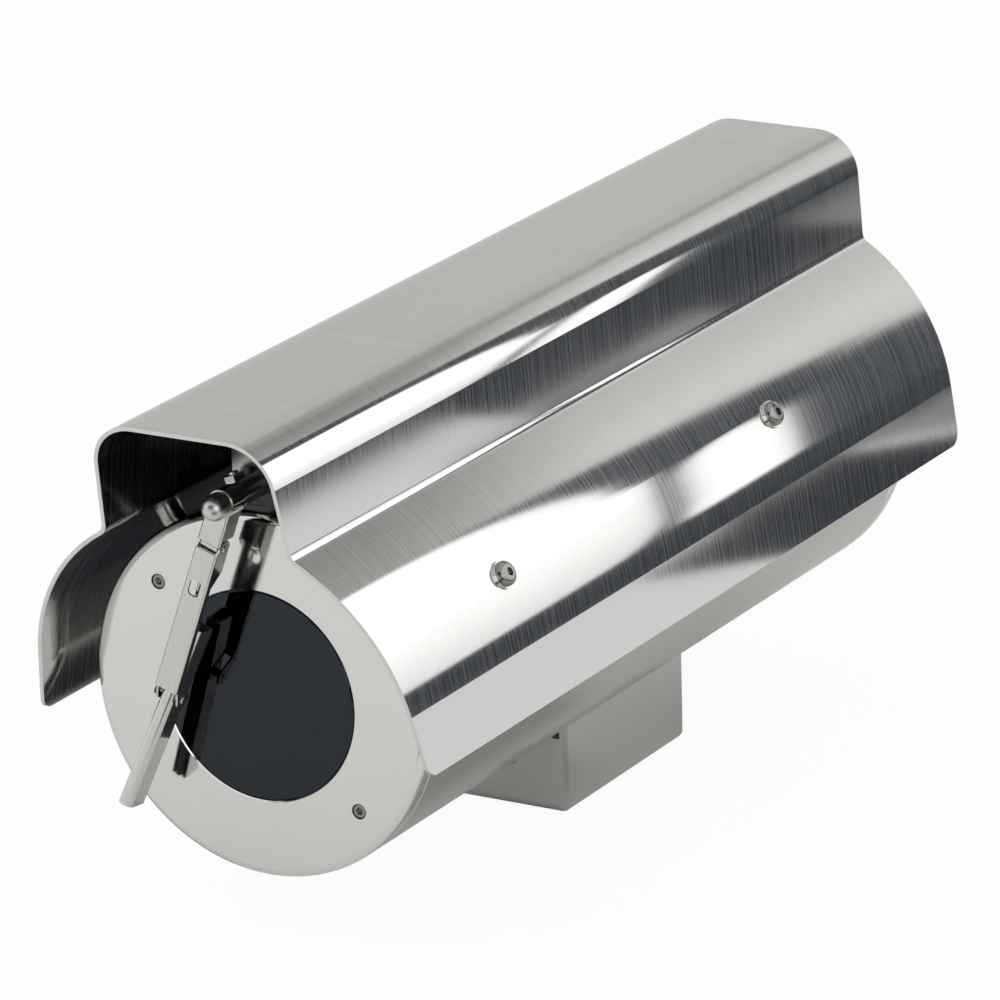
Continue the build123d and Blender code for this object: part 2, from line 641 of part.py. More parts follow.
def make_gear_motor():
    start = HOOD_FRONT_Y + HOOD_SHEET
    gearbox = block(-GEARBOX_HALF_W, GEARBOX_HALF_W, start, start + GEARBOX_L, GEARBOX_FOOT_Z, GEARBOX_TOP_Z)
    gearbox = fillet(gearbox.edges().filter_by(Axis.Y), 4.0)
    motor = cyl_y(MOTOR_D / 2, start + GEARBOX_L, start + GEARBOX_L + MOTOR_L, 0, MOTOR_Z)
    motor = fillet(circle_edges(motor, MOTOR_D / 2, start + GEARBOX_L + MOTOR_L), 2.0)
    drive = gearbox + motor
    return drive - cyl_y(SHAFT_D / 2 + RUN_GAP, start, start + GEARBOX_L - 2.0, 0, SHAFT_Z)


def make_shaft_sleeve():
    sleeve = cyl_y(SLEEVE_D / 2, SLEEVE_FRONT_Y, HOOD_FRONT_Y + HOOD_SHEET, 0, SHAFT_Z)
    sleeve = chamfer(circle_edges(sleeve, SLEEVE_D / 2, SLEEVE_FRONT_Y), 0.5)
    sleeve += cyl_y(SLEEVE_FLANGE_D / 2, HOOD_FRONT_Y - SLEEVE_FLANGE_T, HOOD_FRONT_Y, 0, SHAFT_Z)
    sleeve -= tube_space()
    return sleeve - cyl_y(SHAFT_D / 2 + RUN_GAP, SLEEVE_FRONT_Y, HOOD_FRONT_Y + HOOD_SHEET, 0, SHAFT_Z)


def make_wiper_shaft():
    front = DOME_BACK_Y - DOME_CYL_L
    return cyl_y(SHAFT_D / 2, front, HOOD_FRONT_Y + HOOD_SHEET + GEARBOX_L - 3.0, 0, SHAFT_Z)


# Wiper head, dome nut and pivot pin, hanging straight down from the shaft at z = 0
def make_wiper_head():
    head = cyl_y(HEAD_HUB_R, DOME_BACK_Y, HEAD_BACK_Y)
    body = block(-ARM_HALF_W, ARM_HALF_W, ARM_FRONT_Y, HEAD_BACK_Y, -HEAD_BLOCK_S, 0)
    body += block(-ARM_HALF_W, ARM_HALF_W, ARM_FRONT_Y, ARM_FRONT_Y + 1.0, -HEAD_HOOD_S, -HEAD_BLOCK_S)
    body = fillet([e for e in body.edges().filter_by(Axis.Z) if e.center().Y < ARM_FRONT_Y + 0.1], 0.9)
    body -= cyl_y(DOME_R + 0.3, ARM_FRONT_Y - 1, DOME_BACK_Y)
    head += body
    head += block(-TONGUE_HALF_W, TONGUE_HALF_W, PIVOT_Y - 2.8, PIVOT_Y + EAR_R, -PIVOT_S, -HEAD_BLOCK_S + 1)
    head += cyl_x(EAR_R, -TONGUE_HALF_W, TONGUE_HALF_W, PIVOT_Y, -PIVOT_S)
    head -= cyl_x(PIVOT_D / 2 + RUN_GAP, -8, 8, PIVOT_Y, -PIVOT_S)
    return head - cyl_y(SHAFT_D / 2 + RUN_GAP, ARM_FRONT_Y - 1, HEAD_BACK_Y)


def make_dome_nut():
    front = DOME_BACK_Y - DOME_CYL_L
    dome = cyl_y(DOME_R, front, DOME_BACK_Y) + Pos(0, front, 0) * Sphere(DOME_R)
    dome -= cyl_y(DOME_R + 1, DOME_BACK_Y, DOME_BACK_Y + DOME_R)
    return dome - cyl_y(SHAFT_D / 2 + RUN_GAP, front - 0.3, DOME_BACK_Y)


def make_pivot_pin():
    reach = ARM_HALF_W + 0.5
    return chamfer(cyl_x(PIVOT_D / 2, -reach, reach, PIVOT_Y, -PIVOT_S).edges().filter_by(GeomType.CIRCLE), 0.25)


# Wiper arm: a channel open toward the plate, deep near the head and shallow over the blade
def make_wiper_arm():
    outline = [
        (ARM_FRONT_Y, -WEB_TOP_S), (ARM_FRONT_Y, -WEB_END_S), (ARM_FRONT_Y + 1.6, -WEB_END_S - 0.4),
        (BLADE_PIN_Y - BLADE_EAR_R * 0.8, -BLADE_S - BLADE_EAR_R * 0.6),
        (BLADE_PIN_Y + BLADE_EAR_R * 0.8, -BLADE_S + BLADE_EAR_R * 0.6),
        (ARM_LOW_WALL_Y + 1.5, -BLADE_S + 6.5), (ARM_LOW_WALL_Y, -BLADE_S + 8.5),
        (ARM_LOW_WALL_Y, -33.0), (ARM_WALL_BACK_Y, -27.5), (ARM_WALL_BACK_Y - 0.1, -PIVOT_S),
        (PIVOT_Y - 2.0, -PIVOT_S + 1.0)]
    arm = prism_x(outline, ARM_HALF_W)
    arm += cyl_x(EAR_R, -ARM_HALF_W, ARM_HALF_W, PIVOT_Y, -PIVOT_S)
    arm += cyl_x(BLADE_EAR_R, -ARM_HALF_W, ARM_HALF_W, BLADE_PIN_Y, -BLADE_S)
    long_edges = [e for e in arm.edges().filter_by(Axis.Z)
                  if abs(e.center().Y - ARM_FRONT_Y) < 0.01 and e.length > 40]
    arm = fillet(long_edges, ARM_BEND_R)
    inner = ARM_HALF_W - ARM_SHEET
    arm -= block(-inner, inner, ARM_FRONT_Y + ARM_SHEET, 0, -BLADE_S - 10, 0)
    arm -= block(-inner, inner, ARM_FRONT_Y - 1, 0, -BLADE_S - 10, -WEB_END_S)
    arm -= block(-inner, inner, ARM_FRONT_Y - 1, 0, -WEB_TOP_S, 0)
    slot = Pos(0, ARM_FRONT_Y, -ARM_HOLE_S) * Rot(90, 0, 0) * extrude(
        RectangleRounded(ARM_HOLE_W, ARM_HOLE_L, 1.9), amount=2.0, both=True)
    arm -= slot
    arm -= cyl_x(PIVOT_D / 2 + RUN_GAP, -8, 8, PIVOT_Y, -PIVOT_S)
    arm -= cyl_x(BLADE_PIN_D / 2 + RUN_GAP, -8, 8, BLADE_PIN_Y, -BLADE_S)
    return arm


def make_arm_spring():
    length = SPRING_END_S - SPRING_TOP_S
    coil_path = Helix(pitch=length / SPRING_TURNS, height=length, radius=SPRING_R)
    wire = Plane(coil_path @ 0, z_dir=coil_path % 0) * Circle(SPRING_WIRE_R)
    return Pos(0, SPRING_Y, -SPRING_END_S) * sweep(wire, path=coil_path, is_frenet=True)


def make_spring_hook():
    """Straight wire from the coil down to a foot that bears on the back of the web."""
    start = -SPRING_END_S - SPRING_WIRE_R - HOOK_GAP
    wire = cyl_z(HOOK_R, -HOOK_END_S, start, 0, SPRING_Y)
    eye = cyl_x(HOOK_R * 0.8, -SPRING_R - SPRING_WIRE_R, SPRING_R + SPRING_WIRE_R, SPRING_Y, start - 0.8)
    foot = cyl_y(HOOK_R * 0.8, ARM_FRONT_Y + ARM_SHEET + 0.15, SPRING_Y, 0, -HOOK_END_S + 0.8)
    return wire + eye + foot


# Blade: pin, cap, bush, carrier and rubber, drawn about the pin at z = 0
def make_blade_pin():
    reach = ARM_HALF_W + 0.4
    pin = cyl_x(BLADE_PIN_D / 2, -reach, reach, BLADE_PIN_Y, 0)
    return chamfer(pin.edges().filter_by(GeomType.CIRCLE), 0.3)


def make_blade_pin_cap():
    outer = -ARM_HALF_W - 0.1
    cap = cyl_x(CAP_D / 2, outer - CAP_T, outer, BLADE_PIN_Y, 0)
    return cap - cyl_x(BLADE_PIN_D / 2 + RUN_GAP, outer - 0.6, outer, BLADE_PIN_Y, 0)


def make_blade_bush():
    half = CARRIER_HALF_W - CARRIER_SHEET - BUSH_INSET
    bush = cyl_x(BUSH_R, -half, half, BLADE_PIN_Y, 0)
    return bush - cyl_x(BLADE_PIN_D / 2 + RUN_GAP, -half, half, BLADE_PIN_Y, 0)


def channel_face(inset):
    """Outline of the carrier seen along its length, drawn in by inset."""
    half = CARRIER_HALF_W - inset
    front = CARRIER_FRONT_Y + inset
    back = CARRIER_BACK_Y - inset
    face = make_face(Polyline((-half, back), (-half, front), (half, front), (half, back), (-half, back)))
    return fillet(face.vertices().group_by(Axis.Y)[0], CARRIER_BEND_R - inset)


def make_blade_carrier():
    section = channel_face(0) - channel_face(CARRIER_SHEET)
    mouth = CARRIER_HALF_W - CARRIER_LIP
    section -= Pos(0, CARRIER_BACK_Y) * Rectangle(2 * mouth, 4)
    carrier = Pos(0, 0, -BLADE_BELOW) * extrude(section, amount=BLADE_BELOW + BLADE_ABOVE)
    return carrier - Rot(0, -BLADE_TILT, 0) * cyl_x(BLADE_PIN_D / 2 + RUN_GAP, -8, 8, BLADE_PIN_Y, 0)


def make_wiper_rubber():
    root = CARRIER_BACK_Y - CARRIER_SHEET - 0.1
    neck = CARRIER_HALF_W - CARRIER_LIP - 0.2
    foot = CARRIER_HALF_W - CARRIER_SHEET - 0.2
    profile = [(foot, root - 1.6), (foot, root), (neck, root), (neck, CARRIER_BACK_Y + 0.2),
               (0.5, CARRIER_BACK_Y + RUBBER_PROUD)]
    mirrored = [(-x, y) for x, y in reversed(profile)]
    face = make_face(Polyline(profile + mirrored + [profile[0]]))
    inset = 0.5
    return Pos(0, 0, -BLADE_BELOW + inset) * extrude(face, amount=BLADE_BELOW + BLADE_ABOVE - 2 * inset)


# Placing
STAND = Pos(0, -BRACKET_MID_Y, -BRACKET_BOTTOM_Z)
HANG = Pos(0, 0, SHAFT_Z) * Rot(0, ARM_ANGLE, 0)
AT_PIN = HANG * Pos(0, 0, -BLADE_S)
ROCKED = AT_PIN * Pos(0, BLADE_PIN_Y, 0) * Rot(-BLADE_ROCK, 0, 0) * Pos(BLADE_SHIFT, -BLADE_PIN_Y, 0)
BLADE = ROCKED * Rot(0, BLADE_TILT, 0)


def save(name, shapes, place=None):
    """Write one node, made of one solid or a group of equal fasteners."""
    if not isinstance(shapes, (list, tuple)):
        shapes = [shapes]
    solids = []
    for shape in shapes:
        moved = STAND * (shape if place is None else place * shape)
        solids.extend(moved.solids())
    node = solids[0] if len(solids) == 1 else Compound(children=solids)
    export_step(node, f"parts/{name}.step")


def build():
    save("body_tube", make_body_tube())
    save("front_flange", make_front_flange())
    save("rear_flange", make_rear_flange())
    save("front_plate", make_front_plate())
    save("front_o_ring", make_o_ring(TUBE_FRONT + O_RING_WIRE_R + 0.05))
    save("front_plate_screws", [make_front_screw(angle) for angle in FRONT_SCREW_ANGLES])
    save("window_glass", make_window_glass())
    save("window_seal", make_window_seal())
    save("glass_retaining_ring", make_retaining_ring())
    save("retaining_ring_screws", [make_ring_screw(angle) for angle in RING_SCREW_ANGLES])
    save("rear_cover", make_rear_cover())
    save("rear_o_ring", make_o_ring(TUBE_REAR - O_RING_WIRE_R - 0.05))
    save("rear_cover_screws", [make_rear_screw(angle) for angle in REAR_SCREW_ANGLES])
    sides = (-GLAND_X, GLAND_X)
    save("gland_bodies", [make_gland_body(x) for x in sides])
    save("gland_caps", [make_gland_cap(x) for x in sides])
    save("gland_locknuts", [make_gland_locknut(x) for x in sides])
    save("gland_plugs", [make_gland_plug(x) for x in sides])
    save("sun_shield", make_sun_shield())
    save("shield_bosses", around_shield(make_shield_boss(), tube_space()))
    save("shield_screws", around_shield(make_shield_screw()))
    save("shield_washers", around_shield(make_shield_washer()))
    save("base_bracket", make_base_bracket())
    save("earth_boss", make_earth_boss())
    save("earth_washer", make_earth_washer())
    save("earth_screw", make_earth_screw())
    save("motor_hood", make_motor_hood())
    save("hood_studs", [make_hood_stud(angle) for angle in HOOD_STUD_ANGLES])
    save("hood_washers", [radial(angle, hood_stud_y(), make_hood_washer()) for angle in HOOD_STUD_ANGLES])
    save("hood_nuts", [radial(angle, hood_stud_y(), make_hood_nut()) for angle in HOOD_STUD_ANGLES])
    save("gear_motor", make_gear_motor())
    save("shaft_sleeve", make_shaft_sleeve())
    save("wiper_shaft", make_wiper_shaft())
    save("wiper_head", make_wiper_head(), HANG)
    save("dome_nut", make_dome_nut(), HANG)
    save("arm_pivot_pin", make_pivot_pin(), HANG)
    save("wiper_arm", make_wiper_arm(), HANG)
    save("arm_spring", make_arm_spring(), HANG)
    save("spring_hook", make_spring_hook(), HANG)
    save("blade_pin", make_blade_pin(), AT_PIN)
    save("blade_pin_cap", make_blade_pin_cap(), AT_PIN)
    save("blade_bush", make_blade_bush(), ROCKED)
    save("blade_carrier", make_blade_carrier(), BLADE)
    save("wiper_rubber", make_wiper_rubber(), BLADE)


build()
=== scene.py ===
"""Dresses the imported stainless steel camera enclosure: its finishes, the stage, the reflector cards and the camera."""
import math

import bpy
from bpy.props import FloatProperty, FloatVectorProperty, PointerProperty
from mathutils import Matrix, Vector


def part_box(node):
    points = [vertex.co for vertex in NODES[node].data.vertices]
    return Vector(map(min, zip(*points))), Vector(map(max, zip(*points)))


bl_info = {
    "name": "Steel camera enclosure",
    "version": (1, 0, 0),
    "blender": (4, 5, 0),
    "location": "View3D > Sidebar > Enclosure",
    "description": "Finishes, fine detail, stage and camera for a stainless steel camera enclosure with a wiper",
    "category": "Object",
}

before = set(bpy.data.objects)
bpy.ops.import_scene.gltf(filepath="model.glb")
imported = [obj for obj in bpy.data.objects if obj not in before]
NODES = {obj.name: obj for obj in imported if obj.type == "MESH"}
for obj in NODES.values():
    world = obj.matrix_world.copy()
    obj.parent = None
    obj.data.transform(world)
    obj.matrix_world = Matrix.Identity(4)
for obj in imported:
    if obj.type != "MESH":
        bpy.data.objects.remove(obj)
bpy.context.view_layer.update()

MM = 0.001
WHITE = (1.0, 1.0, 1.0, 1.0)

# The tube's axis runs along Y at x = 0 and at this height, and the front plate's face lies here, looking to -Y.
TUBE_LOW, TUBE_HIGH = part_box("body_tube")
PLATE_LOW, PLATE_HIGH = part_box("front_plate")
AXIS_Z = (PLATE_LOW.z + PLATE_HIGH.z) / 2
FACE_Y = PLATE_LOW.y
TUBE_R = (TUBE_HIGH.x - TUBE_LOW.x) / 2

# Finishes. Most values of a noise lie in the first range, and most sums of two noises in the second.
NOISE_RANGE = (0.3, 0.7)
NOISE_SUM_RANGE = (0.7, 1.3)
WEAR_PER_METRE = 18
LINE_STRETCH = 0.4
SCATTER_ROUGHNESS = 0.45
POLYMER_IOR = 1.5
GLASS_IOR = 1.5
# The painted shade inside the hat starts at this height over the tube's axis, and comes in over twice this fade. None
# of the hat's inner faces is nearer to the axis than the last value.
PAINTED_SHADE_HEIGHT = 58 * MM
PAINTED_SHADE_FADE = 10 * MM
PAINTED_SHADE_NEAREST = 15 * MM

# Stage. The floor lies a little below the base, and this much of it is plain white to the camera. The rest of it
# keeps the shadow.
FLOOR_DROP = 0.4 * MM
FLOOR_HALF = 4.0
FLOOR_SHOWN = 0.94
SENSOR_WIDTH = 36.0
CLIP_NEAR, CLIP_FAR = 0.1, 50.0

# Reflector cards. Seen from the photograph's side, a ray that the tube or the wing reflects goes this much further
# back than it goes out.
RAY_RUN = 1.438
# A mirror ray at an angle above the horizon leaves the wing at half the sum of that angle and this one.
RAY_LEAN = 33.4
WING_R = 77.6 * MM
# The two corner radii of a card meet between these shares of its width, and its first level ends at this one.
CORNER_TURN = (0.4, 0.6)
LEVEL_RISE = 0.45
# Cards darker than this are a cool grey.
DARK_LEVEL = 0.2
COOL_GREY = (0.84, 0.97, 1.16)
SOFTBOX_LEVEL = 1.6
# The paper tent spans these angles over the tube, in degrees up from +X. Its levels at some of them are given on the
# camera's side and on the far side, with the shares of its depth between which the one turns into the other.
TENT_ANGLES = (20.0, 200.0)
TENT_LEVELS = (((50.0, 0.44), (82.0, 0.34), (96.0, 0.42), (110.0, 0.60)),
               ((50.0, 0.88), (76.0, 0.74), (90.0, 0.47), (108.0, 0.61)))
TENT_TURN = (0.40, 0.60)
WARM_WHITE = (1.01, 1.0, 0.975)
# The table as the steel mirrors it, in layers from the lowest up: layer, name, xs, ys behind the front plate, level,
# soft edge and the share of what lies below that the card hides.
TABLE_LAYER = 0.2 * MM
TABLE_CARDS = (
    (1, "table_light", (0.10, 0.466), (0.30, 0.745), 0.90, 0.015, 1.0),
    (2, "table_right", (0.458, 3.0), (-2.0, 4.0), 0.055, 0.010, 1.0),
    (3, "table_far", (-0.6, 0.485), (0.865, 3.0), 0.34, 0.03, 1.0),
    (4, "table_back", (-0.6, 0.418), (0.640, 0.865), 0.04, 0.02, 1.0),
    (5, "table_shade", (0.398, 0.90), (0.735, 1.11), 0.045, 0.012, 1.0),
    (6, "table_strip", (0.410, 0.430), (0.68, 0.935), 0.85, 0.010, 1.0),
    (6, "shade_left", (-0.16, -0.02), (0.0, 0.34), 0.02, 0.03, 1.0),
    (6, "shade_right", (0.02, 0.16), (0.0, 0.24), 0.02, 0.05, 0.4),
    (6, "camera_foot", (0.02, 0.36), (-0.55, -0.15), 0.02, 0.05, 1.0),
)


def linear(hex_colour):
    """Linear RGB of an sRGB hex colour."""
    parts = [int(hex_colour[i:i + 2], 16) / 255 for i in (1, 3, 5)]
    return tuple(c / 12.92 if c <= 0.04045 else ((c + 0.055) / 1.055) ** 2.4 for c in parts)


def colour_property(name, description, hex_colour):
    """A colour setting whose default is an sRGB hex colour."""
    return FloatVectorProperty(name=name, description=description, subtype="COLOR", size=3, min=0.0, max=1.0,
                               default=linear(hex_colour))


# ---------------------------------------------------------------- settings

class SteelSettings(bpy.types.PropertyGroup):
    sheet: colour_property("Sheet", "Polished stainless sheet of the sun shield", "#D7D6D4")
    # inside is painted shade: a dark colour for the hat's unlit inside and for the back of the wiper arm.
    inside: colour_property("Inside of the hat", "Dark mill film inside the sun shield's hat", "#4A4846")
    tube: colour_property("Tube", "Ground stainless tube", "#CFCECB")
    plate: colour_property("Plates", "Buffed end plates", "#DBDBD9")
    folded: colour_property("Folded sheet", "Satin sheet of the bracket and the hood", "#CBCAC8")
    small: colour_property("Small parts", "Turned parts and screws", "#CFCDC9")
    # heads is painted shade: a darker colour for the shade in and round the socket heads' recesses.
    heads: colour_property("Socket heads", "Filmed steel of the socket head screws", "#8E8C8A")
    grain_pitch: FloatProperty(name="Grain pitch", description="Distance between polishing lines on the sheet",
                               default=1.2 * MM, min=0.1 * MM, max=3 * MM, unit="LENGTH")
    grain_depth: FloatProperty(name="Grain depth", description="Height of the polishing lines",
                               default=0.0007 * MM, min=0.0, max=0.01 * MM, unit="LENGTH", precision=6)


class DarkSettings(bpy.types.PropertyGroup):
    rubber: colour_property("Rubber", "EPDM seals and wiper rubber", "#1B1B1C")
    plastic: colour_property("Plastic", "Moulded black nylon", "#1A1A1B")
    paint: colour_property("Motor paint", "Black powder coat of the motor", "#1E1F21")
    glass: colour_property("Window", "Tint of the window", "#2A2F36")


class StudioSettings(bpy.types.PropertyGroup):
    floor: colour_property("Floor", "Pale floor", "#F4F4F2")
    key: FloatProperty(name="Key light", description="Power of the soft key lamp", default=14.0, min=0.0, unit="POWER")
    fill: FloatProperty(name="Fill light", description="Power of the soft fill lamp", default=7.0, min=0.0,
                        unit="POWER")
    sky: FloatProperty(name="Sky", description="Even light from all round", default=0.62, min=0.0, max=2.0)


class CameraSettings(bpy.types.PropertyGroup):
    azimuth: FloatProperty(name="Azimuth", description="Direction of the camera round the enclosure",
                           default=math.radians(30.12), subtype="ANGLE")
    elevation: FloatProperty(name="Elevation", description="Height of the camera above the horizon",
                             default=math.radians(18.33), subtype="ANGLE")
    roll: FloatProperty(name="Roll", description="Turn of the camera about its own axis",
                        default=math.radians(-1.54), subtype="ANGLE")
    place: FloatVectorProperty(name="Place", description="Where the camera stands", size=3, subtype="TRANSLATION",
                               default=(1.181426, -2.078887, 0.899074))
    lens: FloatProperty(name="Lens", description="Focal length on a sensor 36 mm wide", default=239.785, min=1.0)


class EnclosureSettings(bpy.types.PropertyGroup):
    steel: PointerProperty(type=SteelSettings)
    dark: PointerProperty(type=DarkSettings)
    studio: PointerProperty(type=StudioSettings)
    camera: PointerProperty(type=CameraSettings)


def settings():
    """The settings that the panel shows."""
    return bpy.context.scene.enclosure


# ---------------------------------------------------------------- materials

def add_node(tree, kind, links=None, **values):
    """Adds one node: values are its own settings, and links are numbers, colours or outputs for its inputs."""
    node = tree.nodes.new(kind)
    for name, value in values.items():
        setattr(node, name, value)
    for socket, value in (links or {}).items():
        if isinstance(value, bpy.types.NodeSocket):
            tree.links.new(value, node.inputs[socket])
        else:
            node.inputs[socket].default_value = value
    return node


def empty_material(name):
    """A node material with nothing in it yet, and its tree."""
    material = bpy.data.materials.new(name)
    material.use_nodes = True
    material.node_tree.nodes.clear()
    return material, material.node_tree


def surface_material(name):
    """A node material with its output and its Principled shader."""
    material, tree = empty_material(name)
    shader = add_node(tree, "ShaderNodeBsdfPrincipled")
    add_node(tree, "ShaderNodeOutputMaterial", {"Surface": shader.outputs["BSDF"]})
    return material, tree, shader


def rgba(colour):
    """A colour with full opacity."""
    return (*colour, 1.0)


def dress(material, *names):
    """Gives CAD nodes a material."""
    for name in names:
        mesh = NODES[name].data
        mesh.materials.clear()
        mesh.materials.append(material)


def place_on(tree, scale):
    """The place on the object in metres, stretched by scale, so that a pattern has a real size."""
    where = add_node(tree, "ShaderNodeTexCoord")
    return add_node(tree, "ShaderNodeMapping", {"Vector": where.outputs["Object"], "Scale": scale},
                    vector_type="POINT").outputs["Vector"]


def steel(name, colour, roughness, pitch, depth, along="Y", spread=0.03, soil=0.04, stretch=0.0, length=1.5,
          scatter=0.0):
    """Stainless steel with fine lines, one after the other along an axis. Their pitch, depth and length are in metres.
    Spread is how far the roughness varies, soil how much darker some lines are, and stretch how far a highlight is
    drawn out. Scatter is the share of the lines that throw a little light to all sides, which shows in dark
    reflections."""
    material, tree, shader = surface_material(name)
    scale = tuple(1 / pitch if a == along else 1 / length for a in "XYZ")
    lines = add_node(tree, "ShaderNodeTexNoise", {"Vector": place_on(tree, scale), "Scale": 1.0, "Detail": 0.0})
    wear = add_node(tree, "ShaderNodeTexNoise", {"Vector": place_on(tree, (WEAR_PER_METRE,) * 3), "Scale": 1.0,
                                                 "Detail": 2.0})
    worn = add_node(tree, "ShaderNodeMath", {0: lines.outputs["Fac"], 1: wear.outputs["Fac"]}, operation="ADD")
    rough = add_node(tree, "ShaderNodeMapRange", {
        "Value": worn.outputs[0], "From Min": NOISE_SUM_RANGE[0], "From Max": NOISE_SUM_RANGE[1],
        "To Min": roughness - spread, "To Max": roughness + spread})
    streak = add_node(tree, "ShaderNodeMapRange", {
        "Value": lines.outputs["Fac"], "From Min": NOISE_RANGE[0], "From Max": NOISE_RANGE[1]})
    tint = add_node(tree, "ShaderNodeMix", {
        "Factor": streak.outputs["Result"], "A": rgba([c * (1 - soil) for c in colour]), "B": rgba(colour)},
        data_type="RGBA")
    bump = add_node(tree, "ShaderNodeBump", {"Height": lines.outputs["Fac"], "Distance": depth, "Strength": 1.0})
    tree.links.new(tint.outputs["Result"], shader.inputs["Base Color"])
    tree.links.new(rough.outputs["Result"], shader.inputs["Roughness"])
    tree.links.new(bump.outputs["Normal"], shader.inputs["Normal"])
    shader.inputs["Metallic"].default_value = 1.0
    if scatter:
        pale = add_node(tree, "ShaderNodeMath", {0: streak.outputs["Result"], 1: scatter}, operation="MULTIPLY")
        tree.links.new(pale.outputs[0], shader.inputs["Coat Weight"])
        shader.inputs["Coat Roughness"].default_value = SCATTER_ROUGHNESS
    if stretch:
        # Lines round an axis stretch a highlight along that axis, a quarter turn from the lines.
        round_axis = add_node(tree, "ShaderNodeTangent", direction_type="RADIAL", axis=along)
        tree.links.new(round_axis.outputs["Tangent"], shader.inputs["Tangent"])
        shader.inputs["Anisotropic"].default_value = stretch
        shader.inputs["Anisotropic Rotation"].default_value = 0.25
    return material


def paint_shade(material, colour, share):
    """Paints shade into a steel: mixes another colour into it by a share from 0 to 1, an output of its own node tree.
    """
    tree = material.node_tree
    shader = next(node for node in tree.nodes if node.type == "BSDF_PRINCIPLED")
    mix = add_node(tree, "ShaderNodeMix", {
        "Factor": share, "A": shader.inputs["Base Color"].links[0].from_socket, "B": rgba(colour)}, data_type="RGBA")
    tree.links.new(mix.outputs["Result"], shader.inputs["Base Color"])


def hat_shade_mask(tree):
    """1 on the side of the sheet that faces the tube's axis, above the height at which the painted shade starts."""
    where = add_node(tree, "ShaderNodeTexCoord")
    out = add_node(tree, "ShaderNodeVectorMath", {0: where.outputs["Object"], 1: (0, 0, AXIS_Z)},
                   operation="SUBTRACT")
    flat = add_node(tree, "ShaderNodeVectorMath", {0: out.outputs[0], 1: (1, 0, 1)}, operation="MULTIPLY")
    # For a face that looks at the axis, this is its distance from there, below zero.
    facing = add_node(tree, "ShaderNodeVectorMath", {0: flat.outputs[0], 1: where.outputs["Normal"]},
                      operation="DOT_PRODUCT")
    # The sheet's cut edges, which look forward and back, stay bright.
    ends = add_node(tree, "ShaderNodeSeparateXYZ", {"Vector": where.outputs["Normal"]})
    ends = add_node(tree, "ShaderNodeMath", {0: ends.outputs["Y"]}, operation="ABSOLUTE")
    facing = add_node(tree, "ShaderNodeMath", {0: facing.outputs["Value"], 1: ends.outputs[0]}, operation="ADD")
    inside = add_node(tree, "ShaderNodeMath", {0: facing.outputs[0], 1: -PAINTED_SHADE_NEAREST}, operation="LESS_THAN")
    split = add_node(tree, "ShaderNodeSeparateXYZ", {"Vector": out.outputs[0]})
    high = add_node(tree, "ShaderNodeMapRange", {
        "Value": split.outputs["Z"], "From Min": PAINTED_SHADE_HEIGHT - PAINTED_SHADE_FADE, "From Max": PAINTED_SHADE_HEIGHT + PAINTED_SHADE_FADE})
    return add_node(tree, "ShaderNodeMath", {0: inside.outputs[0], 1: high.outputs["Result"]},
                    operation="MULTIPLY").outputs[0]


def facing_back(tree, least=0.2):
    """1 on the faces that look back, toward the plate, by at least this part of their normal."""
    where = add_node(tree, "ShaderNodeTexCoord")
    split = add_node(tree, "ShaderNodeSeparateXYZ", {"Vector": where.outputs["Normal"]})
    return add_node(tree, "ShaderNodeMath", {0: split.outputs["Y"], 1: least}, operation="GREATER_THAN").outputs[0]


def dull(name, colour, roughness, grit, depth, shades=(0.7, 1.2)):
    """A dark non-metal with a fine grit between two shades of its colour. Grit and depth are in metres."""
    material, tree, shader = surface_material(name)
    grain = add_node(tree, "ShaderNodeTexNoise", {"Vector": place_on(tree, (1 / grit,) * 3), "Scale": 1.0,
                                                  "Detail": 2.0})
    low, high = (rgba([c * shade for c in colour]) for shade in shades)
    tint = add_node(tree, "ShaderNodeMix", {"Factor": grain.outputs["Fac"], "A": low, "B": high}, data_type="RGBA")
    bump = add_node(tree, "ShaderNodeBump", {"Height": grain.outputs["Fac"], "Distance": depth, "Strength": 1.0})
    tree.links.new(tint.outputs["Result"], shader.inputs["Base Color"])
    tree.links.new(bump.outputs["Normal"], shader.inputs["Normal"])
    shader.inputs["Roughness"].default_value = roughness
    shader.inputs["IOR"].default_value = POLYMER_IOR
    return material


# ---------------------------------------------------------------- pieces

class ENCLOSURE_OT_finish_shield(bpy.types.Operator):
    """Finish the sun shield in polished sheet with a fine cross grain"""
    bl_idname = "enclosure.finish_shield"
    bl_label = "Finish the sun shield"

    def execute(self, context):
        look = settings().steel
        # Cold rolled 316L sheet, polished across its length: the eye gets soft mirror bands with fine cross lines.
        # The real lines are 0.1 mm apart, too fine to show, so they are drawn 1.2 mm apart.
        sheet = steel("polished_316_sheet", look.sheet, roughness=0.08, pitch=look.grain_pitch,
                      depth=look.grain_depth, spread=0.013, soil=0.055, stretch=LINE_STRETCH, scatter=1.0)
        # Inside the hat the sheet's colour is darkened: painted shade, since hardly any light comes back out of it.
        paint_shade(sheet, look.inside, hat_shade_mask(sheet.node_tree))
        dress(sheet, "sun_shield", "shield_washers")
        return {"FINISHED"}


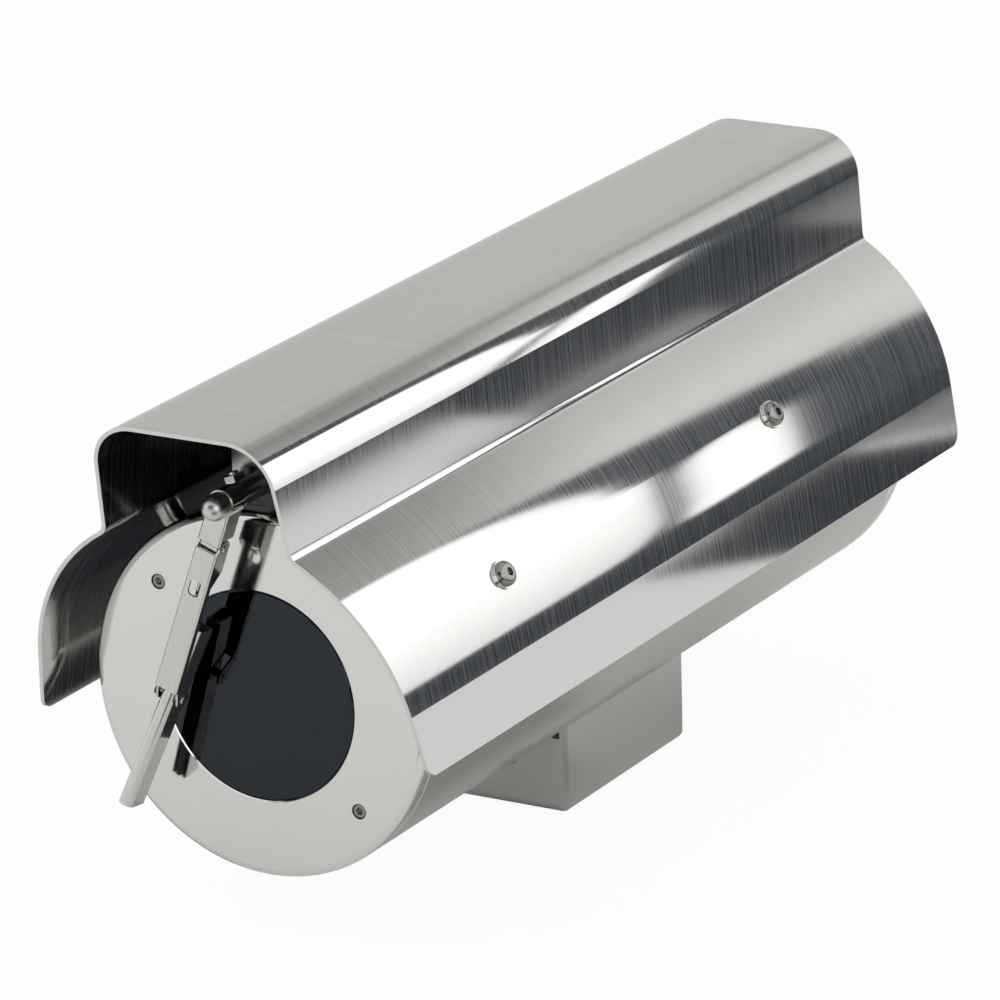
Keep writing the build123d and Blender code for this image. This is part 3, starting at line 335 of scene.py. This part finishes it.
class ENCLOSURE_OT_finish_body(bpy.types.Operator):
    """Finish the tube, the end plates, the flanges and the bracket"""
    bl_idname = "enclosure.finish_body"
    bl_label = "Finish the body"

    def execute(self, context):
        look = settings().steel
        # 316 tube ground round its axis: a soft, slightly stretched mirror. Its lines, 0.2 mm apart in the real tube,
        # are too fine to show, and so are those of the next three finishes. All are drawn up to 1.2 mm apart.
        dress(steel("ground_316_tube", look.tube, roughness=0.20, pitch=1.2 * MM, depth=0.003 * MM,
                    stretch=LINE_STRETCH),
              "body_tube")
        # 316 plate buffed after turning: all but a mirror, with only a faint unevenness some 6 mm wide.
        dress(steel("buffed_316_plate", look.plate, roughness=0.09, pitch=6 * MM, depth=0.0, along="Z", spread=0.01,
                    soil=0.012, length=20 * MM),
              "front_plate", "rear_cover")
        # Folded 2B sheet, satin: it blurs what it mirrors into soft gradients.
        dress(steel("satin_316_folded", look.folded, roughness=0.24, pitch=1.2 * MM, depth=0.003 * MM, along="Z"),
              "base_bracket", "motor_hood")
        # Bar turned on a lathe: bright, with a slightly soft mirror.
        dress(steel("turned_316", look.small, roughness=0.18, pitch=0.8 * MM, depth=0.002 * MM),
              "front_flange", "rear_flange", "glass_retaining_ring", "gland_bodies", "gland_caps", "gland_locknuts",
              "shield_bosses", "earth_boss", "shaft_sleeve", "wiper_shaft")
        return {"FINISHED"}


class ENCLOSURE_OT_finish_screws(bpy.types.Operator):
    """Finish the screws, nuts, washers and pins"""
    bl_idname = "enclosure.finish_screws"
    bl_label = "Finish the screws"

    def execute(self, context):
        look = settings().steel
        fine = {"pitch": 0.8 * MM, "depth": 0.001 * MM}
        # Tumbled A4 dome nut: satin, with one soft highlight.
        dress(steel("tumbled_a4", look.small, roughness=0.32, **fine), "dome_nut")
        # A4 socket heads with their colour darkened: painted shade in their recess and round their edge, small dark
        # buttons.
        dress(steel("socket_head_a4", look.heads, roughness=0.20, **fine), "front_plate_screws", "shield_screws")
        # Cold headed and drawn A4: small, hard, bright highlights.
        dress(steel("cold_headed_a4", look.small, roughness=0.16, spread=0.04, **fine),
              "retaining_ring_screws", "rear_cover_screws", "earth_washer", "earth_screw", "hood_studs",
              "hood_washers", "hood_nuts", "arm_pivot_pin", "arm_spring", "spring_hook", "blade_pin")
        return {"FINISHED"}


class ENCLOSURE_OT_finish_wiper(bpy.types.Operator):
    """Finish the wiper's arm, head, blade and rubber, and the other dark parts"""
    bl_idname = "enclosure.finish_wiper"
    bl_label = "Finish the wiper"

    def execute(self, context):
        look, dark = settings().steel, settings().dark
        # Pressed 316 sheet, polished outside: bright faces. Its back, which the plate mirrors, is painted darker:
        # painted shade.
        arm = steel("pressed_316_arm", look.small, roughness=0.14, pitch=1.0 * MM, depth=0.001 * MM, along="X")
        paint_shade(arm, look.inside, facing_back(arm.node_tree))
        dress(arm, "wiper_head", "wiper_arm", "blade_carrier")
        # Moulded nylon: black with a dim, even sheen.
        dress(dull("moulded_black_nylon", dark.plastic, roughness=0.45, grit=0.5 * MM, depth=0.004 * MM),
              "blade_pin_cap", "blade_bush")
        # Moulded EPDM rubber: a matt black that mirrors nothing.
        dress(dull("moulded_epdm", dark.rubber, roughness=0.6, grit=0.4 * MM, depth=0.004 * MM),
              "wiper_rubber", "front_o_ring", "rear_o_ring", "window_seal", "gland_plugs")
        # Powder coat: black with the fine bumps of the coat.
        dress(dull("powder_coat_black", dark.paint, roughness=0.4, grit=0.8 * MM, depth=0.01 * MM), "gear_motor")
        return {"FINISHED"}


class ENCLOSURE_OT_finish_window(bpy.types.Operator):
    """Finish the window in toughened glass"""
    bl_idname = "enclosure.finish_window"
    bl_label = "Finish the window"

    def execute(self, context):
        glass = settings().dark.glass
        material, tree, shader = surface_material("toughened_glass")
        # Toughened float glass is flat and smooth: the eye gets sharp dark reflections and a faint blue-grey cast,
        # a little uneven over 40 mm.
        cast = add_node(tree, "ShaderNodeTexNoise", {"Vector": place_on(tree, (1 / (40 * MM),) * 3), "Scale": 1.0})
        tint = add_node(tree, "ShaderNodeMix", {
            "Factor": cast.outputs["Fac"], "A": rgba([c * 0.95 for c in glass]), "B": rgba(glass)}, data_type="RGBA")
        tree.links.new(tint.outputs["Result"], shader.inputs["Base Color"])
        shader.inputs["Roughness"].default_value = 0.0
        shader.inputs["IOR"].default_value = GLASS_IOR
        shader.inputs["Specular Tint"].default_value = (0.78, 0.87, 1.0, 1.0)
        shader.inputs["Transmission Weight"].default_value = 1.0
        dress(material, "window_glass")
        return {"FINISHED"}


# ---------------------------------------------------------------- stage

def glow_material(name, level, size, corners, soft, share=1.0, low_level=None):
    """A card's glow with a soft edge, all in metres. Past its edge the card isn't there. It has one corner radius at
    its first edge and one at its last, and low_level is its level at the first edge. Dark cards are a cool grey."""
    material, tree = empty_material(name)
    where = add_node(tree, "ShaderNodeUVMap", uv_map="place")
    split = add_node(tree, "ShaderNodeSeparateXYZ", {"Vector": where.outputs["UV"]})
    radius = add_node(tree, "ShaderNodeMapRange", {
        "Value": split.outputs["X"], "From Min": CORNER_TURN[0], "From Max": CORNER_TURN[1],
        "To Min": corners[0], "To Max": corners[1]})
    radii = add_node(tree, "ShaderNodeCombineXYZ", {"X": radius.outputs[0], "Y": radius.outputs[0]})
    # How far a point lies outside the card's rounded edge, below zero inside it.
    centred = add_node(tree, "ShaderNodeVectorMath", {0: where.outputs["UV"], 1: (0.5, 0.5, 0)}, operation="SUBTRACT")
    sized = add_node(tree, "ShaderNodeVectorMath", {0: centred.outputs[0], 1: (*size, 0)}, operation="MULTIPLY")
    folded = add_node(tree, "ShaderNodeVectorMath", {0: sized.outputs[0]}, operation="ABSOLUTE")
    half = (size[0] / 2, size[1] / 2, 0)
    past = add_node(tree, "ShaderNodeVectorMath", {0: folded.outputs[0], 1: half}, operation="SUBTRACT")
    past = add_node(tree, "ShaderNodeVectorMath", {0: past.outputs[0], 1: radii.outputs[0]}, operation="ADD")
    past = add_node(tree, "ShaderNodeVectorMath", {0: past.outputs[0], 1: (0, 0, 0)}, operation="MAXIMUM")
    out = add_node(tree, "ShaderNodeVectorMath", {0: past.outputs[0]}, operation="LENGTH")
    outside = add_node(tree, "ShaderNodeMath", {0: out.outputs["Value"], 1: radius.outputs[0]}, operation="SUBTRACT")
    mask = add_node(tree, "ShaderNodeMapRange", {
        "Value": outside.outputs[0], "From Min": -soft, "From Max": 0.0, "To Min": share, "To Max": 0.0},
        interpolation_type="SMOOTHSTEP")
    clear = add_node(tree, "ShaderNodeBsdfTransparent")
    across = add_node(tree, "ShaderNodeMapRange", {
        "Value": split.outputs["X"], "From Max": LEVEL_RISE, "To Max": level,
        "To Min": level if low_level is None else low_level})
    glow = add_node(tree, "ShaderNodeEmission", {
        "Color": rgba(COOL_GREY) if level < DARK_LEVEL else WHITE, "Strength": across.outputs["Result"]})
    mix = add_node(tree, "ShaderNodeMixShader", {0: mask.outputs["Result"], 1: clear.outputs[0], 2: glow.outputs[0]})
    add_node(tree, "ShaderNodeOutputMaterial", {"Surface": mix.outputs[0]})
    return material


def tent_material():
    """The glow of the paper tent: its levels change across it, and from the camera's side to the far side."""
    material, tree = empty_material("paper_tent")
    where = add_node(tree, "ShaderNodeUVMap", uv_map="place")
    split = add_node(tree, "ShaderNodeSeparateXYZ", {"Vector": where.outputs["UV"]})
    sides = []
    for levels in TENT_LEVELS:
        ramp = add_node(tree, "ShaderNodeValToRGB", {"Fac": split.outputs["X"]})
        ramp.color_ramp.interpolation = "EASE"
        for i, (angle, level) in enumerate(levels):
            place = (angle - TENT_ANGLES[0]) / (TENT_ANGLES[1] - TENT_ANGLES[0])
            # A new ramp comes with two stops.
            stop = ramp.color_ramp.elements[i] if i < 2 else ramp.color_ramp.elements.new(place)
            stop.position, stop.color = place, rgba([level * part for part in WARM_WHITE])
        sides.append(ramp.outputs["Color"])
    back = add_node(tree, "ShaderNodeMapRange", {
        "Value": split.outputs["Y"], "From Min": TENT_TURN[0], "From Max": TENT_TURN[1]},
        interpolation_type="SMOOTHSTEP")
    mix = add_node(tree, "ShaderNodeMix", {"Factor": back.outputs["Result"], "A": sides[0], "B": sides[1]},
                   data_type="RGBA")
    glow = add_node(tree, "ShaderNodeEmission", {"Color": mix.outputs["Result"], "Strength": 1.0})
    add_node(tree, "ShaderNodeOutputMaterial", {"Surface": glow.outputs["Emission"]})
    return material


def card(name, rows, material):
    """A reflector card through rows of points. Only reflections see it."""
    mesh = bpy.data.meshes.new(name)
    width, height = len(rows[0]), len(rows)
    points = [tuple(p) for row in rows for p in row]
    faces = [(r * width + c, r * width + c + 1, (r + 1) * width + c + 1, (r + 1) * width + c)
             for r in range(height - 1) for c in range(width - 1)]
    mesh.from_pydata(points, [], faces)
    place = mesh.uv_layers.new(name="place")
    for loop in mesh.loops:
        row, column = divmod(loop.vertex_index, width)
        place.data[loop.index].uv = (column / (width - 1), row / (height - 1))
    mesh.materials.append(material)
    made = bpy.data.objects.new(name, mesh)
    bpy.context.scene.collection.objects.link(made)
    for use in ("camera", "diffuse", "transmission", "volume_scatter", "shadow"):
        setattr(made, f"visible_{use}", False)


def spaced(ends, steps):
    """Values at even steps from the first end to the last, with both."""
    return [ends[0] + (ends[1] - ends[0]) * i / steps for i in range(steps + 1)]


def wing_ray(angle, y, line):
    """Where a ray that the wing mirrors at an angle above the horizon, in degrees, meets a straight line across the
    stage. It leaves the wing y metres behind the front plate. The line's two ends are (x, z) from the tube's axis."""
    turn = math.radians((angle + RAY_LEAN) / 2)
    start = Vector((math.cos(turn), math.sin(turn))) * WING_R
    way = Vector((math.cos(math.radians(angle)), math.sin(math.radians(angle))))
    low, high = (Vector(end) for end in line)
    across = (high - low).orthogonal()
    run = (low - start).dot(across) / way.dot(across)
    met = start + way * run
    return Vector((met.x, FACE_Y + y + RAY_RUN * run, AXIS_Z + met.y))


def wing_card(name, line, angles, ys, level, corners, soft, low_level=None, steps=16):
    """A card that the wing shows between two angles and two distances behind the front plate."""
    rows = [[wing_ray(angle, y, line) for angle in spaced(angles, steps)] for y in ys]
    size = ((rows[0][-1] - rows[0][0]).length, ys[1] - ys[0])
    card(name, rows, glow_material(name, level, size, corners, soft, low_level=low_level))


def panel(name, low, high, level, corners, soft):
    """A standing card. Its lower and its upper edge are (x, z) from the tube's axis with the distances of both ends
    behind the front plate, in metres."""
    rows = [[Vector((x, FACE_Y + ends[i], AXIS_Z + z)) for x, z, *ends in (low, high)] for i in range(2)]
    size = ((rows[0][1] - rows[0][0]).length, low[3] - low[2])
    card(name, rows, glow_material(name, level, size, corners, soft))


def tube_point(radius, angle, y):
    """A point at an angle round the tube's axis, in degrees up from +X, at y metres behind the front plate."""
    a = math.radians(angle)
    return Vector((radius * math.cos(a), FACE_Y + y, AXIS_Z + radius * math.sin(a)))


def tent_card(name, radius, angles, ys, material, steps=32):
    """A card bent round the tube's axis between two angles in degrees. A ray off the tube that starts between the two
    distances ys behind the front plate meets it."""
    reach = RAY_RUN * (radius - TUBE_R)
    card(name, [[tube_point(radius, angle, y + reach) for angle in spaced(angles, steps)] for y in ys], material)


def floor_card(layer, name, xs, ys, level, soft, share):
    """A stretch of table just over the floor that only reflections see. ys are from the front plate."""
    rows = [[(x, FACE_Y + y, layer * TABLE_LAYER) for x in xs] for y in ys]
    size = (xs[1] - xs[0], ys[1] - ys[0])
    card(name, rows, glow_material(name, level, size, (soft, soft), soft, share))


class ENCLOSURE_OT_set_stage(bpy.types.Operator):
    """Set the floor, the soft lamps, the reflector cards and the camera"""
    bl_idname = "enclosure.set_stage"
    bl_label = "Set the stage"

    def execute(self, context):
        scene, studio = context.scene, settings().studio
        self.floor(scene, studio)
        self.world(scene, studio)
        self.lamps(scene, studio)
        self.cards()
        self.camera(scene)
        scene.view_settings.view_transform = "Standard"
        return {"FINISHED"}

    def floor(self, scene, studio):
        mesh = bpy.data.meshes.new("floor")
        s = FLOOR_HALF
        mesh.from_pydata([(-s, -s, 0), (s, -s, 0), (s, s, 0), (-s, s, 0)], [], [(0, 1, 2, 3)])
        floor = bpy.data.objects.new("floor", mesh)
        scene.collection.objects.link(floor)
        floor.location.z = -FLOOR_DROP
        # White paper: matt, and all but white to the camera, with the shadow left in it.
        material, tree = empty_material("white_paper_floor")
        paper = add_node(tree, "ShaderNodeBsdfDiffuse", {"Color": rgba(studio.floor)})
        glow = add_node(tree, "ShaderNodeEmission", {"Color": WHITE, "Strength": 1.0})
        rays = add_node(tree, "ShaderNodeLightPath")
        share = add_node(tree, "ShaderNodeMath", {0: rays.outputs["Is Camera Ray"], 1: FLOOR_SHOWN},
                         operation="MULTIPLY")
        mix = add_node(tree, "ShaderNodeMixShader", {0: share.outputs[0], 1: paper.outputs[0], 2: glow.outputs[0]})
        add_node(tree, "ShaderNodeOutputMaterial", {"Surface": mix.outputs[0]})
        mesh.materials.append(material)

    def world(self, scene, studio):
        world = bpy.data.worlds.new("studio")
        scene.world = world
        world.use_nodes = True
        tree = world.node_tree
        tree.nodes.clear()
        # The camera, mirrors and glass see plain white, and the light on the object is the sky setting.
        rays = add_node(tree, "ShaderNodeLightPath")
        seen = add_node(tree, "ShaderNodeMath", {0: rays.outputs["Is Camera Ray"], 1: rays.outputs["Is Glossy Ray"]},
                        operation="MAXIMUM")
        seen = add_node(tree, "ShaderNodeMath", {0: seen.outputs[0], 1: rays.outputs["Is Transmission Ray"]},
                        operation="MAXIMUM")
        level = add_node(tree, "ShaderNodeMapRange", {"Value": seen.outputs[0], "To Min": studio.sky, "To Max": 1.0})
        back = add_node(tree, "ShaderNodeBackground", {"Color": WHITE, "Strength": level.outputs["Result"]})
        add_node(tree, "ShaderNodeOutputWorld", {"Surface": back.outputs[0]})

    def lamps(self, scene, studio):
        # Name, power, place and side of each square lamp, in metres. Both look at the tube's axis.
        for name, power, place, size in (("key", studio.key, (-0.9, -1.4, 1.6), 1.4),
                                         ("fill", studio.fill, (1.6, 0.3, 1.2), 1.2)):
            data = bpy.data.lights.new(name, "AREA")
            data.energy, data.shape, data.size = power, "SQUARE", size
            lamp = bpy.data.objects.new(name, data)
            scene.collection.objects.link(lamp)
            lamp.location = place
            lamp.rotation_mode = "QUATERNION"
            lamp.rotation_quaternion = (Vector((0, 0, AXIS_Z)) - Vector(place)).to_track_quat("-Z", "Y")
            lamp.visible_glossy = False
            lamp.visible_camera = False

    def cards(self):
        # The paper tent overhead gives the hat's top and the upper wing their soft greys.
        tent_card("paper_tent", radius=1.6, angles=TENT_ANGLES, ys=(-0.8, 1.0), material=tent_material())
        # A dark wall on the right and a dark room behind the camera give the steel its dark bands.
        panel("dark_wall", low=(0.90, -0.12, -3.0, 2.02), high=(0.90, 1.40, -3.0, 2.14), level=0.07,
              corners=(0.12, 0.20), soft=0.10)
        xs, y, zs = (-1.5, 3.5), -3.2, (0.15, 2.8)
        card("dark_room", [[(x, y, z) for x in xs] for z in zs],
             glow_material("dark_room", 0.07, (xs[1] - xs[0], zs[1] - zs[0]), (0.3, 0.3), 0.3))
        # Two softboxes before one dark frame are the bright panes on the wing.
        wing_card("softbox_frame", line=((0.36, 0.0), (0.205, 0.245)), angles=(-4, 53), ys=(-1.0, 0.225), level=0.05,
                  corners=(0.05, 0.20), soft=0.04)
        wing_card("second_softbox", line=((0.36, -0.005), (0.30, 0.19)), angles=(-5, 29), ys=(0.197, 0.319),
                  level=SOFTBOX_LEVEL, corners=(0.02, 0.06), soft=0.015)
        wing_card("main_softbox", line=((0.36, -0.005), (0.198, 0.238)), angles=(-5, 56.5), ys=(-0.9, 0.186),
                  level=SOFTBOX_LEVEL, corners=(0.055, 0.23), soft=0.012, low_level=1.1)
        for table_card in TABLE_CARDS:
            floor_card(*table_card)

    def camera(self, scene):
        look = settings().camera
        a, e, r = look.azimuth, look.elevation, look.roll
        back = Vector((math.sin(a) * math.cos(e), -math.cos(a) * math.cos(e), math.sin(e)))
        level = Vector((math.cos(a), math.sin(a), 0))
        upright = back.cross(level)
        right = math.cos(r) * level + math.sin(r) * upright
        up = math.cos(r) * upright - math.sin(r) * level
        data = bpy.data.cameras.new("camera")
        data.lens, data.sensor_width = look.lens, SENSOR_WIDTH
        data.clip_start, data.clip_end = CLIP_NEAR, CLIP_FAR
        camera = bpy.data.objects.new("camera", data)
        scene.collection.objects.link(camera)
        camera.matrix_world = Matrix.Translation(look.place) @ Matrix((right, up, back)).transposed().to_4x4()
        scene.camera = camera


# ---------------------------------------------------------------- panel and start

OPERATORS = (ENCLOSURE_OT_finish_shield, ENCLOSURE_OT_finish_body, ENCLOSURE_OT_finish_screws,
             ENCLOSURE_OT_finish_wiper, ENCLOSURE_OT_finish_window, ENCLOSURE_OT_set_stage)


class ENCLOSURE_PT_panel(bpy.types.Panel):
    """Lists the enclosure's steps and settings"""
    bl_label = "Camera enclosure"
    bl_idname = "ENCLOSURE_PT_panel"
    bl_space_type = "VIEW_3D"
    bl_region_type = "UI"
    bl_category = "Enclosure"

    def draw(self, context):
        for operator in OPERATORS:
            self.layout.operator(operator.bl_idname)
        for group in ("steel", "dark", "studio", "camera"):
            box = self.layout.box()
            box.label(text=group.capitalize())
            held = getattr(context.scene.enclosure, group)
            for name in held.bl_rna.properties.keys():
                if name not in ("rna_type", "name"):
                    box.prop(held, name)


CLASSES = (SteelSettings, DarkSettings, StudioSettings, CameraSettings, EnclosureSettings, *OPERATORS,
           ENCLOSURE_PT_panel)


def register():
    for cls in CLASSES:
        bpy.utils.register_class(cls)
    bpy.types.Scene.enclosure = PointerProperty(type=EnclosureSettings)


def unregister():
    del bpy.types.Scene.enclosure
    for cls in reversed(CLASSES):
        bpy.utils.unregister_class(cls)


def main():
    register()
    for operator in OPERATORS:
        getattr(bpy.ops.enclosure, operator.bl_idname.split(".")[1])()


if __name__ == "__main__":
    main()
